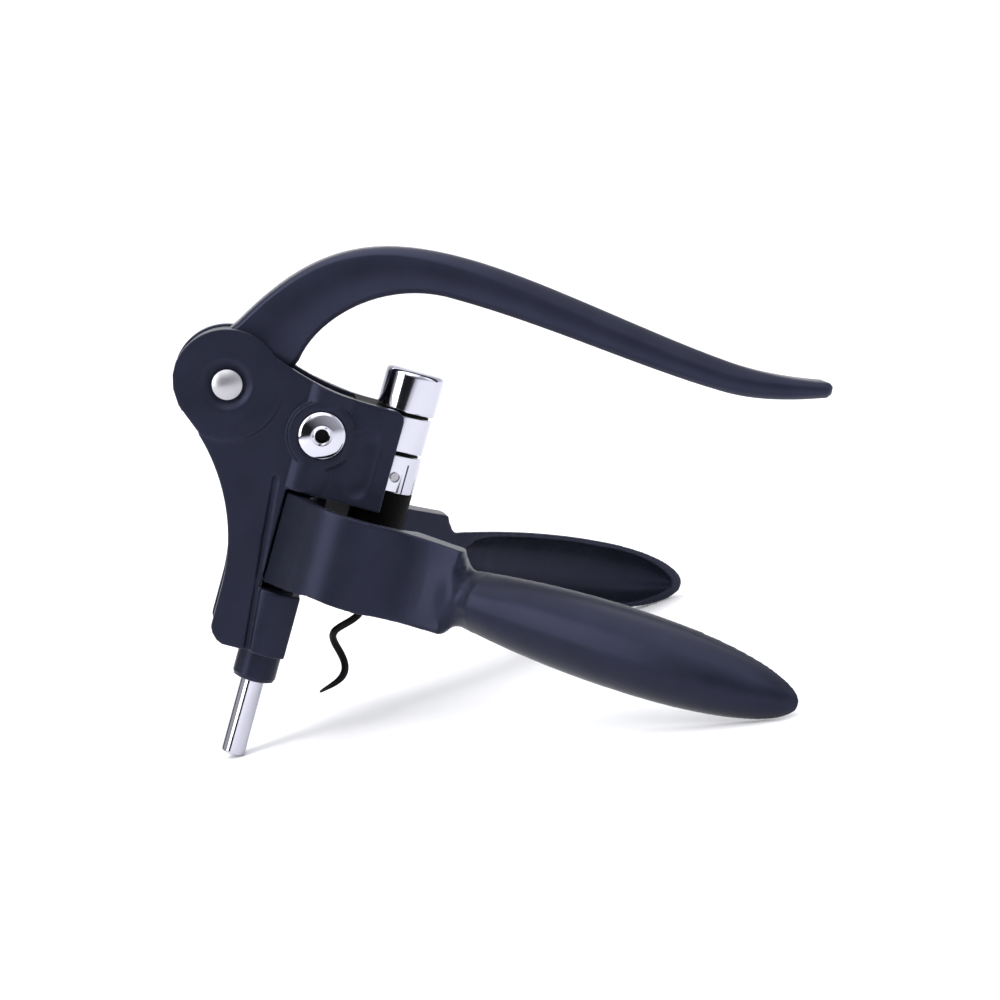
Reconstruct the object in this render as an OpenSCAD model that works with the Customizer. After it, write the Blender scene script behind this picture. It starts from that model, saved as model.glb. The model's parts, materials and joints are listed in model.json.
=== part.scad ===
// Lever corkscrew: a jawed body clamps the bottle, a lever drives a rack, and the rack carries the worm.
// Everything is drawn with the worm upright, X towards the ears, then leaned onto its three feet.

/* [Body] */
// Half of the body's thickness, mid-plane to the flat of a side plate
body_half = 11.4; // [11:0.1:13]
// Thickness of each side plate
plate_t = 3.6; // [3.2:0.1:4]
// Distance from the worm's axis back to the lever's pivot
pivot_back = 47.1; // [46.5:0.1:48]
// Height of the lever's pivot above the jaws
pivot_z = 22.6; // [22:0.1:23.5]
// Radius of the round housing at the pivot
disc_r = 14.3; // [14.1:0.1:16]
// Height of the raised pad on that housing
disc_pad_h = 0.5; // [0.4:0.1:1.2]
// Height of the body's top edge above the jaws
body_top = 27.3; // [27:0.1:28.5]
// Depth of the body's lower end below the jaws' top
leg_depth = 43.4; // [40:0.2:46]
// Distance from the worm's axis back to the leg's rear edge
leg_back = 35; // [34.8:0.1:36]
// Distance from the worm's axis back to the jaw window's rear edge
window_back = 25.3; // [25.2:0.05:25.6]
// Height of the jaw window
window_h = 26.4; // [24:0.2:28]
// Radius of the plates' concave back
back_r = 51.7; // [50:0.1:53]
// Radius of the plates' concave top
crest_r = 68; // [60:1:80]
// Radius of the plates' rounded corners
corner_r = 2.8; // [1:0.1:3]
// Rise of the half-round ridge that runs over the guide rod
ridge_rise = 2; // [1:0.1:2.2]
// Half width of that ridge
ridge_half = 5.8; // [5:0.1:6]
// Radius of the boss round each body screw
boss_r = 8.9; // [8:0.1:9.4]

/* [Lever] */
// Module of the pinion and the rack
tooth_module = 1.25; // [1.2:0.01:1.27]
// Swing of the lever from closed to fully back, in degrees
lever_swing = 165; // [140:1:170]
// Half width of the lever's arm between the plates
arm_half = 7.2; // [6.8:0.1:7.4]
// Half width of the lever's grip
grip_half = 8.4; // [7.4:0.1:10]
// Radius of the pivot pin
pin_r = 3; // [2.5:0.1:3.5]
// Radius of the pivot pin's domed heads
pin_head_r = 3.9; // [3.6:0.1:4.6]
// Thickness of the washers beside the pinion
washer_t = 1; // [0.6:0.1:1.2]

/* [Guide rod] */
// Distance from the worm's axis back to the guide rod
rod_back = 20.3; // [20.1:0.05:20.5]
// Radius of the guide rod
rod_r = 3.2; // [3:0.05:3.3]
// Depth of the guide rod's foot below the jaws' top
rod_depth = 73.3; // [66:0.5:78]
// Radius of the sleeve that the rod slides in
sleeve_r = 4.4; // [4.2:0.05:4.5]
// Height of the sleeve's visible collar below the body
sleeve_collar_h = 9; // [6:0.5:11]
// Radius of that collar
sleeve_collar_r = 5.8; // [5.2:0.1:6.4]

/* [Barrel] */
// Radius of the barrel's cap
cap_r = 7.9; // [7.6:0.1:9]
// Height of the barrel's cap
cap_h = 10.8; // [9:0.2:13]
// Radius of the barrel's middle sleeve
barrel_r = 7.5; // [7:0.05:7.55]
// Radius of the barrel's lower collar
collar_r = 7.65; // [7.2:0.05:7.7]
// Height of the lower collar
collar_h = 10; // [9.4:0.1:10.2]
// Radius of the barrel's core, at the bottom of its grooves
core_r = 5.2; // [4.6:0.1:5.5]
// Height of the fork grooves
groove_h = 0.9; // [0.8:0.05:1.2]
// Number of slits round the lower collar
slit_count = 8; // [4:1:12]

/* [Worm] */
// Outside diameter of the worm
worm_d = 7.6; // [7.2:0.1:8]
// Diameter of the worm's wire
wire_d = 2; // [1.8:0.05:2.2]
// Rise of the worm in one turn
worm_pitch = 17.8; // [16:0.1:20]
// Depth of the worm's point below the jaws' top
worm_depth = 51.3; // [48:0.1:53]
// Radius of the nut holder
holder_r = 7.6; // [7.2:0.05:7.7]
// Radius of the flange that stops the bottle's lip
lip_r = 12.8; // [11:0.1:13]
// Depth of that flange's face below the jaws' top
lip_depth = 10; // [9.4:0.1:11]

/* [Jaws] */
// Opening of each jaw at rest, in degrees
jaw_open = 33.6; // [30:0.2:34]
// Radius of the bottle neck that the closed pads grip
neck_r = 14.2; // [13.6:0.1:14.6]
// Thickness of the grip pads
pad_t = 1.2; // [0.8:0.1:1.6]
// Wall of the jaws' bows
bow_t = 3.2; // [2.6:0.1:4]
// Depth of the bows at the hinge, measured below the jaws' top
bow_depth = 25.4; // [24:0.1:26]
// Distance from the worm's axis to the bows' front corners
bow_front = 29.6; // [28:0.2:32]
// Length of the fillet from a bow into its ear
neck_len = 6; // [4:0.2:8]
// Distance from the worm's axis to the closed ears' tips
ear_tip = 127; // [115:1:135]
// Largest radius of an ear
ear_r = 10.6; // [9.5:0.1:12]
// Radius of an ear at its neck
ear_neck_r = 7.6; // [6.5:0.1:8.5]
// Depth of the ears' axis below the jaws' top, at the root
ear_depth = 12.6; // [11:0.1:13.5]
// Rise of the ears towards their tips, in degrees
ear_rise = 1.9; // [0:0.1:4]
// Wall of the hollow ears
ear_wall = 2.4; // [1.8:0.1:3]

/* [Fits] */
// Radial clearance where a piece turns or slides on another
run_gap = 0.05; // [0.02:0.01:0.1]
// Clearance beside moving pieces
side_gap = 0.3; // [0.2:0.05:0.4]
// Backlash between the pinion and the rack
backlash = 0.3; // [0.2:0.02:0.4]
// Clearance of the worm in its nut
nut_gap = 0.4; // [0.3:0.05:0.5]

/* [Hidden] */
$fn = 64;

// Colours of the finishes
soft_touch = "#2b2d3d";
chrome = "#d6d8dc";
satin_steel = "#9c9b97";
black_nylon = "#1b1c20";
coated_steel = "#232428";
rubber = "#17181a";

// Fixed lines of the assembly
eps = 0.01;
gap_half = body_half - plate_t;
pivot = [-pivot_back, pivot_z];
hinge_x = -rod_back;
seat_gap = 0.1;
lower_front = hinge_x + sleeve_collar_r + seat_gap;
front_x = -0.5;
panel_z = 0.6;
spine_t = 2.1;
knuckle_r = 6.6;
spine_x = hinge_x - knuckle_r - side_gap - seat_gap;
crest_x = -10;
back_c = [-leg_back - back_r, -29];
leg_corner_r = 4;
dish_rim = 2.9;
dish_floor = body_half - 0.5;
dish_foot = 0.3;
valley_x = -8.2;
valley_half = 3.8;
valley_depth = 0.9;
valley_r = (valley_half * valley_half + valley_depth * valley_depth) / (2 * valley_depth);
valley_low = 7;
valley_top = 17;
skirt_h = 4.5;
skirt_rise = 0.9;
lower_z = -window_h;
leg_z = -leg_depth;
plate_top = pivot_z + disc_r;
shoulder = 8.9;
seam_x = -28.4;
seam_w = 0.5;
seam_depth = 0.35;
reach = 200;

// Pinion and rack
pinion_teeth = 20;
pitch_r = tooth_module * pinion_teeth / 2;
tip_r = pitch_r + tooth_module;
root_r = pitch_r - 1.25 * tooth_module;
pressure = 20;
base_r = pitch_r * cos(pressure);
tooth_step = 360 / pinion_teeth;
stroke = pitch_r * lever_swing * PI / 180;
rack_pitch = PI * tooth_module;
rack_x = -pivot_back + pitch_r;
rack_back_x = spine_x - spine_t - side_gap;
rack_top = pivot_z + 3.9;
rack_low_teeth = ceil(stroke / rack_pitch);
rack_foot = pivot_z - (rack_low_teeth + 0.6) * rack_pitch;
rack_half = 6;
rack_root_x = rack_x + 1.25 * tooth_module;
hub_half = gap_half - washer_t - seat_gap;
washer_r = 2.2 * pin_r;
spare_teeth = 2;
hub_tooth_count = ceil(lever_swing / tooth_step) + 2 * spare_teeth;

// Barrel, from its cap down
cap_z = body_top;
core_top = cap_z + 6;
fork_t = groove_h - 2 * seat_gap;
fork_mouth = 4.2;
top_groove_z = cap_z - groove_h;
low_groove_z = 16.0;
collar_z = low_groove_z - collar_h;
shank_r = 2.4;
shank_top = low_groove_z + 6;
button_r = 1.1;
button_z = collar_z + 0.42 * collar_h;
button_turn = -81;
slit_w = 0.5;
slit_depth = 1;

// Guide block and its screws
block_front = -14;
block_top = 21.5;
yoke_z = block_top + 0.4;
yoke_top = cap_z - seat_gap;
rod_top = yoke_top - 0.7;
screw_z = 16.4;
screw_head_r = 6.2;
screw_head_h = 2.5;
screw_r = 2.4;
screw_reach = 3.9;
socket_r = 2;
socket_depth = 2;
boss_top = body_half + ridge_rise - 0.3;
screw_seat = boss_top - 0.8;
yoke_back = hinge_x - rod_r - 2.8;
saddle_back = block_front + side_gap;
saddle_front = -2;
saddle_half = gap_half - side_gap;
sleeve_top = 9;
rod_chamfer = 0.6;

// Worm's path
worm_r = (worm_d - wire_d) / 2;
neck_z = collar_z - 0.6;
ramp_h = 5;
point_h = 6;
phase_z = -35.3;
ring_sides = 8;
nut_bottom = 1.5 - lip_depth;
nut_top = nut_bottom + 7;
nut_r = worm_d / 2 + nut_gap + 0.9;
holder_top = collar_z - seat_gap;
rib_half = 1.5;
groove_top = 4.2;
groove_low = 1.2;
groove_r = nut_r + 1;
lip_t = 2.4;

// Jaws, drawn closed
bore_r = neck_r + pad_t;
bow_r = bore_r + bow_t;
jaw_top = -0.4;
jaw_low = -bow_depth;
knuckle_h = (jaw_top - jaw_low) / 3;
jaw_split = 0.2;
pad_inset = 3;
pad_drop = 0.6;
pad_from = 18;
pad_span = 120;
flare_r = 22;
flare_turn = 48;
flare_c = [(bow_r + flare_r) * cos(flare_turn), (bow_r + flare_r) * sin(flare_turn)];
bow_front_depth = bow_depth - 3;
hinge_face = body_half - 0.8;
block_back = window_back - rod_back - side_gap;
block_nose = 4.8;
corner = [
    hinge_x - block_back * cos(jaw_open) + hinge_face * sin(jaw_open),
    block_back * sin(jaw_open) + hinge_face * cos(jaw_open)
];
facet_end = atan2(corner[1], corner[0]) - acos(bow_r / norm(corner));
ear_root = bow_front - 4;
ear_neck_x = bow_front + neck_len;
neck_lap = 2;
neck_rings = 10;
neck_points = 20;
fillet_y = flare_c[1] - flare_r - jaw_split;
fillet_z = (bow_front_depth + jaw_top) / 2;
fillet_mid = ear_depth - (bow_front_depth - jaw_top) / 2;
ear_wide = ear_root + 0.52 * (ear_tip - ear_root);
hollow_root = bow_front + 8;
hollow_round = 12;
ear_steps = 26;

// Lever's edges as cubic curves, each with its start, two handles and end, from the hub to the tip
top_edge = [
    [[-55.5, 27], [-54, 31], [-51, 34.5], [-48.4, 38.4]],
    [[-48.4, 38.4], [-35.5, 61.3], [-22, 69.7], [4.2, 70]],
    [[4.2, 70], [24, 70.3], [55, 64.2], [78.7, 62.4]],
    [[78.7, 62.4], [88, 61.6], [98, 62.4], [105.9, 64.2]]
];
low_edge = [
    [[-39.5, 26], [-35, 29], [-31.5, 29.5], [-30.8, 33]],
    [[-30.8, 33], [-29, 46], [-14, 59.5], [3.8, 59.1]],
    [[3.8, 59.1], [28, 59.2], [56, 54.8], [78.2, 54.5]],
    [[78.2, 54.5], [88, 54.2], [98, 57], [105.9, 60.1]]
];
edge_steps = [4, 13, 12, 8];
section_points = 20;
section_power = 4.5;
tip_round = 1.6;

function bezier(p, t) = pow(1 - t, 3) * p[0] + 3 * t * pow(1 - t, 2) * p[1]
    + 3 * t * t * (1 - t) * p[2] + pow(t, 3) * p[3];
function edge_points(edge) = [
    for (s = [0:len(edge) - 1], i = [(s == 0 ? 0 : 1):edge_steps[s]]) bezier(edge[s], i / edge_steps[s])
];
top_points = edge_points(top_edge);
low_points = edge_points(low_edge);

// Half width of the lever at a place along X
function arm_width(x) = x < -48 ? hub_half - 0.4
    : x < -38 ? hub_half - 0.4 + (arm_half - hub_half + 0.4) * (x + 48) / 10
    : x < -25 ? arm_half
    : x < 15 ? arm_half + (grip_half - arm_half) * (1 - cos(180 * (x + 25) / 40)) / 2
    : grip_half - 1.6 * pow(max(0, (x - 40) / 66), 2);

// One rounded section of the lever between its two edges
function signed_power(v, p) = sign(v) * pow(abs(v), p);
function lever_section(top, low, shrink) = let (mid = (top + low) / 2, half = (top - low) / 2 * shrink)
    [for (k = [0:section_points - 1]) let (
        a = 360 * k / section_points,
        u = signed_power(cos(a), 2 / section_power),
        w = signed_power(sin(a), 2 / section_power)
    ) [mid[0] + half[0] * w, u * arm_width(mid[0]) * shrink, mid[1] + half[1] * w]];
tip_shift = [tip_round, 0];
lever_sections = concat(
    [for (i = [0:len(top_points) - 1]) lever_section(top_points[i], low_points[i], 1)],
    [lever_section(top_points[len(top_points) - 1] + tip_shift * 0.7,
        low_points[len(low_points) - 1] + tip_shift * 0.7, 0.86)],
    [lever_section(top_points[len(top_points) - 1] + tip_shift,
        low_points[len(low_points) - 1] + tip_shift, 0.55)]
);

// Radius of an ear at a distance along X, closed
function ear_radius(x) = x > ear_wide
    ? ear_r * sqrt(max(0, 1 - pow((x - ear_wide) / (ear_tip - ear_wide), 2.2)))
    : ear_r - (ear_r - ear_neck_r) * pow((ear_wide - x) / (ear_wide - ear_neck_x), 2);

// Lowest point of an ear's section, closed
function ear_low(x) = let (along = x - ear_root, r = ear_radius(x)) [
    ear_root + along * cos(ear_rise) + r * sin(ear_rise),
    -ear_depth + along * sin(ear_rise) - r * cos(ear_rise)
];

// Section of the fillet between a bow and its ear
function neck_ring(x) = let (
    left = pow(1 - max(0, (x - bow_front) / neck_len), 2),
    r = ear_radius(x) - seat_gap / 2,
    power = 2 / (2 + 5 * left)
) [for (k = [0:neck_points]) let (a = 180 * k / neck_points) [
    x,
    (r + (fillet_y - r) * left) * signed_power(sin(a), power),
    fillet_mid * left - (r + (fillet_z - r) * left) * signed_power(cos(a), power)
]];

// The stance: the lean at which the rod's foot and both ears touch the table
foot_r = rod_r - rod_chamfer;
stance_tan = min([for (x = [ear_neck_x:0.5:ear_tip]) let (low = ear_low(x))
    (rod_depth + low[1]) / ((low[0] - hinge_x) * cos(jaw_open) - foot_r)]);
lean = atan(stance_tan);
stand_z = (hinge_x + foot_r) * sin(lean) + rod_depth * cos(lean);
reach_front = max([for (s = lever_sections, p = s) p[0] * cos(lean) + p[2] * sin(lean)]);
reach_back = (hinge_x - rod_r) * cos(lean) - (rod_depth - rod_chamfer) * sin(lean);
stand_x = -(reach_front + reach_back) / 2;

// Leans the upright tool onto its feet
module stand() {
    translate([stand_x, 0, stand_z]) rotate([0, lean, 0]) children();
}

// Extrudes a side view, drawn in X and Z, from one Y to another
module slab(from, to) {
    translate([0, to, 0]) rotate([90, 0, 0]) linear_extrude(to - from) children();
}

// A cylinder across the tool at a place in the side view
module cross(at, r, from, to) {
    translate([at[0], from, at[1]]) rotate([-90, 0, 0]) cylinder(h = to - from, r = r);
}

// A cylinder along the worm's direction
module post(x, r, from, to) {
    translate([x, 0, from]) cylinder(h = to - from, r = r);
}

// Skins a list of rings into one closed solid
module skin(rings) {
    n = len(rings[0]);
    last = len(rings) - 1;
    points = [for (r = rings, p = r) p];
    walls = [for (i = [0:last - 1], k = [0:n - 1]) let (a = i * n + k, b = i * n + (k + 1) % n)
        each [[a, b + n, b], [a, a + n, b + n]]];
    caps = [for (k = [1:n - 2]) each [[0, k, k + 1], [last * n, last * n + k + 1, last * n + k]]];
    polyhedron(points, concat(walls, caps), convexity = 6);
}

// Side view of a plate, without its disc
module plate_outline() {
    difference() {
        union() {
            translate([-pivot_back - shoulder, leg_z + leg_corner_r])
                square([pivot_back + shoulder + front_x - corner_r, plate_top - leg_z - leg_corner_r]);
            translate([front_x - corner_r - eps, panel_z])
                square([corner_r + eps, body_top - corner_r - panel_z]);
            translate([front_x - corner_r, body_top - corner_r]) circle(corner_r);
            translate([-leg_back + leg_corner_r, leg_z])
                square([leg_back - leg_corner_r + lower_front, leg_corner_r + eps]);
            translate([-leg_back + leg_corner_r, leg_z + leg_corner_r]) circle(leg_corner_r);
        }
        translate(back_c) circle(back_r, $fn = 180);
        translate([-reach, -reach]) square([reach - leg_back, reach + back_c[1]]);
        translate([crest_x, body_top + crest_r]) circle(crest_r, $fn = 180);
        translate([crest_x, body_top]) square([reach, reach]);
        translate([-reach, pivot_z]) square([reach - pivot_back, reach]);
        translate([-window_back, lower_z]) square([reach, window_h]);
        translate([lower_front, leg_z - 1]) square([reach, leg_depth + panel_z + 1]);
        translate([-window_back, -eps]) square([reach, panel_z]);
    }
}

// Ridge over the guide rod, on one side, between two heights
module ridge(from, to) {
    r = (ridge_half * ridge_half + ridge_rise * ridge_rise) / (2 * ridge_rise);
    intersection() {
        translate([0, body_half + ridge_rise - r, 0]) post(hinge_x, r, from, to);
        translate([hinge_x - 10, gap_half, from]) cube([20, 20, to - from]);
    }
}

// Ramp along the panel's foot, which turns outwards over the jaw
module skirt() {
    root = plate_t / 2;
    slope = skirt_h / skirt_rise;
    translate([hinge_x, body_half, panel_z - root]) rotate([90, 0, 90]) linear_extrude(reach)
        polygon([
            [-root, 0], [skirt_rise, 0],
            [skirt_rise, root], [-root, root + slope * (skirt_rise + root)]
        ]);
}

// The far half of the body; the near half is its mirror image
module body_shell() {
    difference() {
        union() {
            slab(gap_half, body_half) plate_outline();
            cross(pivot, disc_r, gap_half, body_half + disc_pad_h);
            slab(0, body_half) intersection() {
                plate_outline();
                translate([spine_x - spine_t, leg_z]) square([spine_t, leg_depth + block_top]);
            }
            slab(0, body_half) intersection() {
                plate_outline();
                translate([spine_x - spine_t, leg_z]) square([reach, leg_depth - window_h]);
            }
            intersection() {
                union() {
                    ridge(panel_z, body_top + 6);
                    ridge(leg_z, lower_z);
                    skirt();
                }
                slab(gap_half, body_half + 10) plate_outline();
            }
            cross([hinge_x, screw_z], boss_r, gap_half, boss_top);
            // Rib that locks into the nut holder's groove
            translate([-holder_r - 3, groove_r - rib_half, groove_low])
                cube([holder_r + 3 + front_x, gap_half - groove_r + rib_half + eps, groove_top - groove_low]);
        }
        cross(pivot, pin_r, -1, body_half + 10);
        // Dish round the rivet
        translate([pivot[0], dish_floor, pivot[1]]) rotate([-90, 0, 0])
            cylinder(h = body_half + disc_pad_h - dish_floor + eps,
                r1 = pin_head_r + dish_foot, r2 = pin_head_r + dish_rim);
        cross([hinge_x, screw_z], screw_r, -1, body_half + 10);
        cross([hinge_x, screw_z], screw_head_r + seat_gap, screw_seat, body_half + 10);
        post(hinge_x, sleeve_r, leg_z - 1, lower_z + 1);
        post(0, groove_r, groove_low - 1, groove_top + 1);
        // Shallow valley in the panel beside the barrel
        translate([valley_x, body_half - valley_depth + valley_r, 0]) {
            post(0, valley_r, valley_low, valley_top);
            translate([0, 0, valley_low]) sphere(valley_r);
            translate([0, 0, valley_top]) sphere(valley_r);
        }
        // Seam between the leg and the jaw's seat
        translate([seam_x, body_half - seam_depth, lower_z]) cube([seam_w, 10, window_h + panel_z]);
        translate([-reach, -reach, -reach]) cube([2 * reach, reach, 2 * reach]);
    }
}

module body_far() {
    color(soft_touch) stand() body_shell();
}

module body_near() {
    color(soft_touch) stand() mirror([0, 1, 0]) body_shell();
}

// Block between the plates that guides the rod and takes the body screws
module guide_block() {
    color(black_nylon) stand() difference() {
        translate([spine_x, -gap_half, panel_z])
            cube([block_front - spine_x, 2 * gap_half, block_top - panel_z]);
        post(hinge_x, rod_r + run_gap, 0, 60);
        post(hinge_x, sleeve_r, 0, sleeve_top);
        for (s = [0, 1]) mirror([0, s, 0]) cross([hinge_x, screw_z], screw_r, screw_reach, gap_half + 1);
        post(0, barrel_r + side_gap, 0, 60);
    }
}

// One socket-head screw, pointing inwards from the far side
module body_screw() {
    dome_r = 16;
    head_top = screw_seat + screw_head_h;
    difference() {
        union() {
            cross([hinge_x, screw_z], screw_r, screw_reach, screw_seat + eps);
            intersection() {
                cross([hinge_x, screw_z], screw_head_r, screw_seat, head_top);
                translate([hinge_x, head_top - dome_r, screw_z]) sphere(dome_r, $fn = 96);
            }
        }
        translate([hinge_x, head_top - socket_depth, screw_z]) rotate([-90, 0, 0])
            cylinder(h = 5, r = socket_r, $fn = 6);
    }
}

module body_screws() {
    color(chrome) stand() {
        body_screw();
        mirror([0, 1, 0]) body_screw();
    }
}

// Sleeve that the rod slides in and the jaws turn on
module guide_sleeve() {
    color(soft_touch) stand() difference() {
        union() {
            post(hinge_x, sleeve_r, leg_z - 1, sleeve_top);
            translate([hinge_x, 0, 0]) rotate_extrude() polygon([
                [0, leg_z], [sleeve_collar_r, leg_z],
                [sleeve_collar_r, leg_z - sleeve_collar_h + 1.4],
                [sleeve_collar_r - 0.4, leg_z - sleeve_collar_h + 0.4],
                [sleeve_collar_r - 1.4, leg_z - sleeve_collar_h], [0, leg_z - sleeve_collar_h]
            ]);
        }
        post(hinge_x, rod_r + run_gap, leg_z - 30, 60);
    }
}

// Riveted pin that the lever turns on
module pivot_pin() {
    head_h = 1.5;
    dome_r = 8;
    color(satin_steel) stand() {
        cross(pivot, pin_r, -dish_floor - eps, dish_floor + eps);
        for (s = [0, 1]) mirror([0, s, 0]) intersection() {
            cross(pivot, pin_head_r, dish_floor, dish_floor + head_h);
            translate([pivot[0], dish_floor + head_h - dome_r, pivot[1]]) sphere(dome_r, $fn = 96);
        }
    }
}

module pivot_washers() {
    color(black_nylon) stand() for (s = [0, 1]) mirror([0, s, 0]) difference() {
        cross(pivot, washer_r, gap_half - washer_t, gap_half);
        cross(pivot, pin_r + run_gap, 0, body_half);
    }
}

// Sleeve fixed in the body that holds the nut and stops the bottle's lip
module nut_holder() {
    color(black_nylon) stand() difference() {
        union() {
            post(0, holder_r, -lip_depth, holder_top);
            post(0, lip_r, -lip_depth, lip_t - lip_depth);
        }
        post(0, nut_r, -lip_depth - 1, holder_top + 1);
        intersection() {
            difference() {
                post(0, lip_r, groove_low, groove_top);
                post(0, groove_r, 0, 10);
            }
            translate([front_x + seat_gap - reach, -reach / 2, 0]) cube(reach);
        }
    }
}

// Place on the worm's centre line at a height, swollen by the ramp from shank to turns
function turn_at(z) = 180 + 360 * (min(z, neck_z) - phase_z) / worm_pitch;
function swing_at(z) = let (t = min(1, max(0, (neck_z - z) / ramp_h))) worm_r * t * t * (3 - 2 * t);
function worm_at(z) = [swing_at(z) * cos(turn_at(z)), swing_at(z) * sin(turn_at(z)), z];
function wire_at(z) = let (
    t = min(1, max(0, (neck_z - z) / ramp_h)),
    p = min(1, max(0, (z + worm_depth) / point_h))
) (shank_r + (wire_d / 2 - shank_r) * t * t * (3 - 2 * t)) * (0.12 + 0.88 * pow(p, 0.7));
function unit(v) = v / norm(v);

// A ring of points round a centre line, square to it
function ring_at(c, along, out, r) = let (t = unit(along), b = unit(cross(t, out)), n = cross(b, t))
    [for (k = [0:ring_sides - 1]) let (a = 360 * k / ring_sides) c + r * (cos(a) * n + sin(a) * b)];
function out_at(z) = [cos(turn_at(z)), sin(turn_at(z)), 0];
function worm_ring(z, r) = ring_at(worm_at(z), worm_at(z - 0.05) - worm_at(z + 0.05), out_at(z), r);

worm_step = worm_pitch / 24;
worm_stations = concat(
    [shank_top, neck_z],
    [for (z = [neck_z - worm_step:-worm_step:-worm_depth + 0.3]) z],
    [-worm_depth]
);

module worm() {
    color(coated_steel) stand() skin([for (z = worm_stations) worm_ring(z, wire_at(z))]);
}

// Helical way through the nut, the worm's own turns with clearance
function helix_at(z) = [worm_r * cos(turn_at(z)), worm_r * sin(turn_at(z)), z];
function helix_ring(z, r) = ring_at(helix_at(z), helix_at(z - 0.05) - helix_at(z + 0.05), out_at(z), r);

module worm_nut() {
    way_r = (wire_d / 2 + nut_gap) / cos(180 / ring_sides);
    color(black_nylon) stand() difference() {
        post(0, nut_r, nut_bottom, nut_top);
        skin([for (z = [nut_top + 2:-worm_step:nut_bottom - 2]) helix_ring(z, way_r)]);
    }
}

// Angle that an involute has turned through at a radius
function involute(r) = let (a = acos(min(1, base_r / r))) tan(a) * 180 / PI - a;
function flank_turn(r) = 90 / pinion_teeth - backlash / 4 / pitch_r * 180 / PI
    + involute(pitch_r) - involute(max(r, base_r));
flank_radii = [for (i = [0:4]) base_r + (tip_r - base_r) * i / 4];
tooth_flank = concat([[root_r - 1, flank_turn(base_r)]], [for (r = flank_radii) [r, flank_turn(r)]]);
function on_circle(r, a) = [r * cos(a), r * sin(a)];

module pinion_tooth(at) {
    n = len(tooth_flank) - 1;
    polygon(concat(
        [for (f = tooth_flank) on_circle(f[0], at - f[1])],
        [for (i = [n:-1:0]) on_circle(tooth_flank[i][0], at + tooth_flank[i][1])]
    ));
}

// Toothed hub, with a gap between teeth facing the rack at rest
module pinion_outline() {
    circle(root_r);
    for (i = [0:hub_tooth_count - 1]) pinion_tooth((spare_teeth - 0.5 - i) * tooth_step);
    intersection() {
        circle(tip_r);
        polygon([[0, 0], on_circle(40, 80), on_circle(40, 115), on_circle(40, 150)]);
    }
}

module lever() {
    color(soft_touch) stand() difference() {
        union() {
            translate([pivot[0], 0, pivot[1]]) slab(-hub_half, hub_half) pinion_outline();
            skin(lever_sections);
        }
        cross(pivot, pin_r + run_gap, -20, 20);
    }
}

// Side view of one rack tooth, centred at a height
module rack_tooth(z) {
    lean_out = tan(pressure);
    half = rack_pitch / 4 - backlash / 4;
    depth = rack_root_x - rack_x;
    polygon([
        [rack_x + depth + eps, z - half - (depth + eps) * lean_out],
        [rack_x - tooth_module, z - half + tooth_module * lean_out],
        [rack_x - tooth_module, z + half - tooth_module * lean_out],
        [rack_x + depth + eps, z + half + (depth + eps) * lean_out]
    ]);
}

// Fork plate that holds the barrel by one groove, open to the front
module fork(z) {
    difference() {
        union() {
            post(0, barrel_r - 0.2, z, z + fork_t);
            translate([saddle_back, -saddle_half, z])
                cube([saddle_front - saddle_back, 2 * saddle_half, fork_t]);
        }
        post(0, core_r + run_gap, z - 1, z + fork_t + 1);
        translate([0, -fork_mouth, z - 1]) cube([2 * barrel_r, 2 * fork_mouth, fork_t + 2]);
    }
}

// Rack, yoke and fork in one casting
module rack_carriage() {
    color(black_nylon) stand() difference() {
        union() {
            slab(-rack_half, rack_half) {
                translate([rack_root_x, rack_foot])
                    square([rack_back_x - rack_root_x, rack_top - rack_foot]);
                for (k = [0:rack_low_teeth]) rack_tooth(pivot_z - k * rack_pitch);
            }
            translate([rack_root_x, -rack_half, yoke_z])
                cube([saddle_back - rack_root_x + eps, 2 * rack_half, rack_top - yoke_z]);
            difference() {
                union() {
                    translate([yoke_back, -saddle_half, yoke_z])
                        cube([saddle_front - yoke_back, 2 * saddle_half, top_groove_z - yoke_z + 2 * seat_gap]);
                    translate([saddle_back, -saddle_half, low_groove_z + seat_gap])
                        cube([saddle_front - saddle_back, 2 * saddle_half, top_groove_z - low_groove_z]);
                }
                post(0, collar_r + seat_gap, 0, 60);
            }
            fork(low_groove_z + seat_gap);
            fork(top_groove_z + seat_gap);
        }
        post(hinge_x, rod_r, yoke_z - 1, 60);
    }
}

module guide_rod() {
    foot = -rod_depth;
    color(chrome) stand() translate([hinge_x, 0, 0]) rotate_extrude() polygon([
        [0, foot], [foot_r, foot], [rod_r, foot + rod_chamfer], [rod_r, rod_top], [0, rod_top]
    ]);
}

module barrel_core() {
    color(satin_steel) stand() difference() {
        post(0, core_r, collar_z, core_top);
        post(0, shank_r + run_gap, collar_z - 1, shank_top + 0.2);
    }
}

module barrel_cap() {
    top = cap_z + cap_h;
    color(chrome) stand() difference() {
        rotate_extrude() polygon([
            [0, cap_z], [cap_r - 0.5, cap_z], [cap_r, cap_z + 0.5], [cap_r, top - 1.5],
            [cap_r - 0.45, top - 0.45], [cap_r - 1.5, top], [cap_r - 3, top + 0.15], [0, top + 0.2]
        ]);
        post(0, core_r, cap_z - 1, core_top);
    }
}

module barrel_sleeve() {
    color(chrome) stand() difference() {
        post(0, barrel_r, low_groove_z + groove_h, top_groove_z);
        post(0, core_r, 0, 60);
    }
}

module barrel_collar() {
    color(chrome) stand() difference() {
        post(0, collar_r, collar_z, low_groove_z);
        post(0, core_r, 0, 60);
        for (i = [0:slit_count - 1]) rotate([0, 0, button_turn + (i + 0.5) * 360 / slit_count])
            translate([collar_r - slit_depth, -slit_w / 2, collar_z - 1])
            cube([5, slit_w, 0.8 * collar_h + 1]);
        rotate([0, 0, button_turn]) translate([core_r - 2, 0, button_z]) rotate([0, 90, 0])
            cylinder(h = 10, r = button_r);
    }
}

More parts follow.
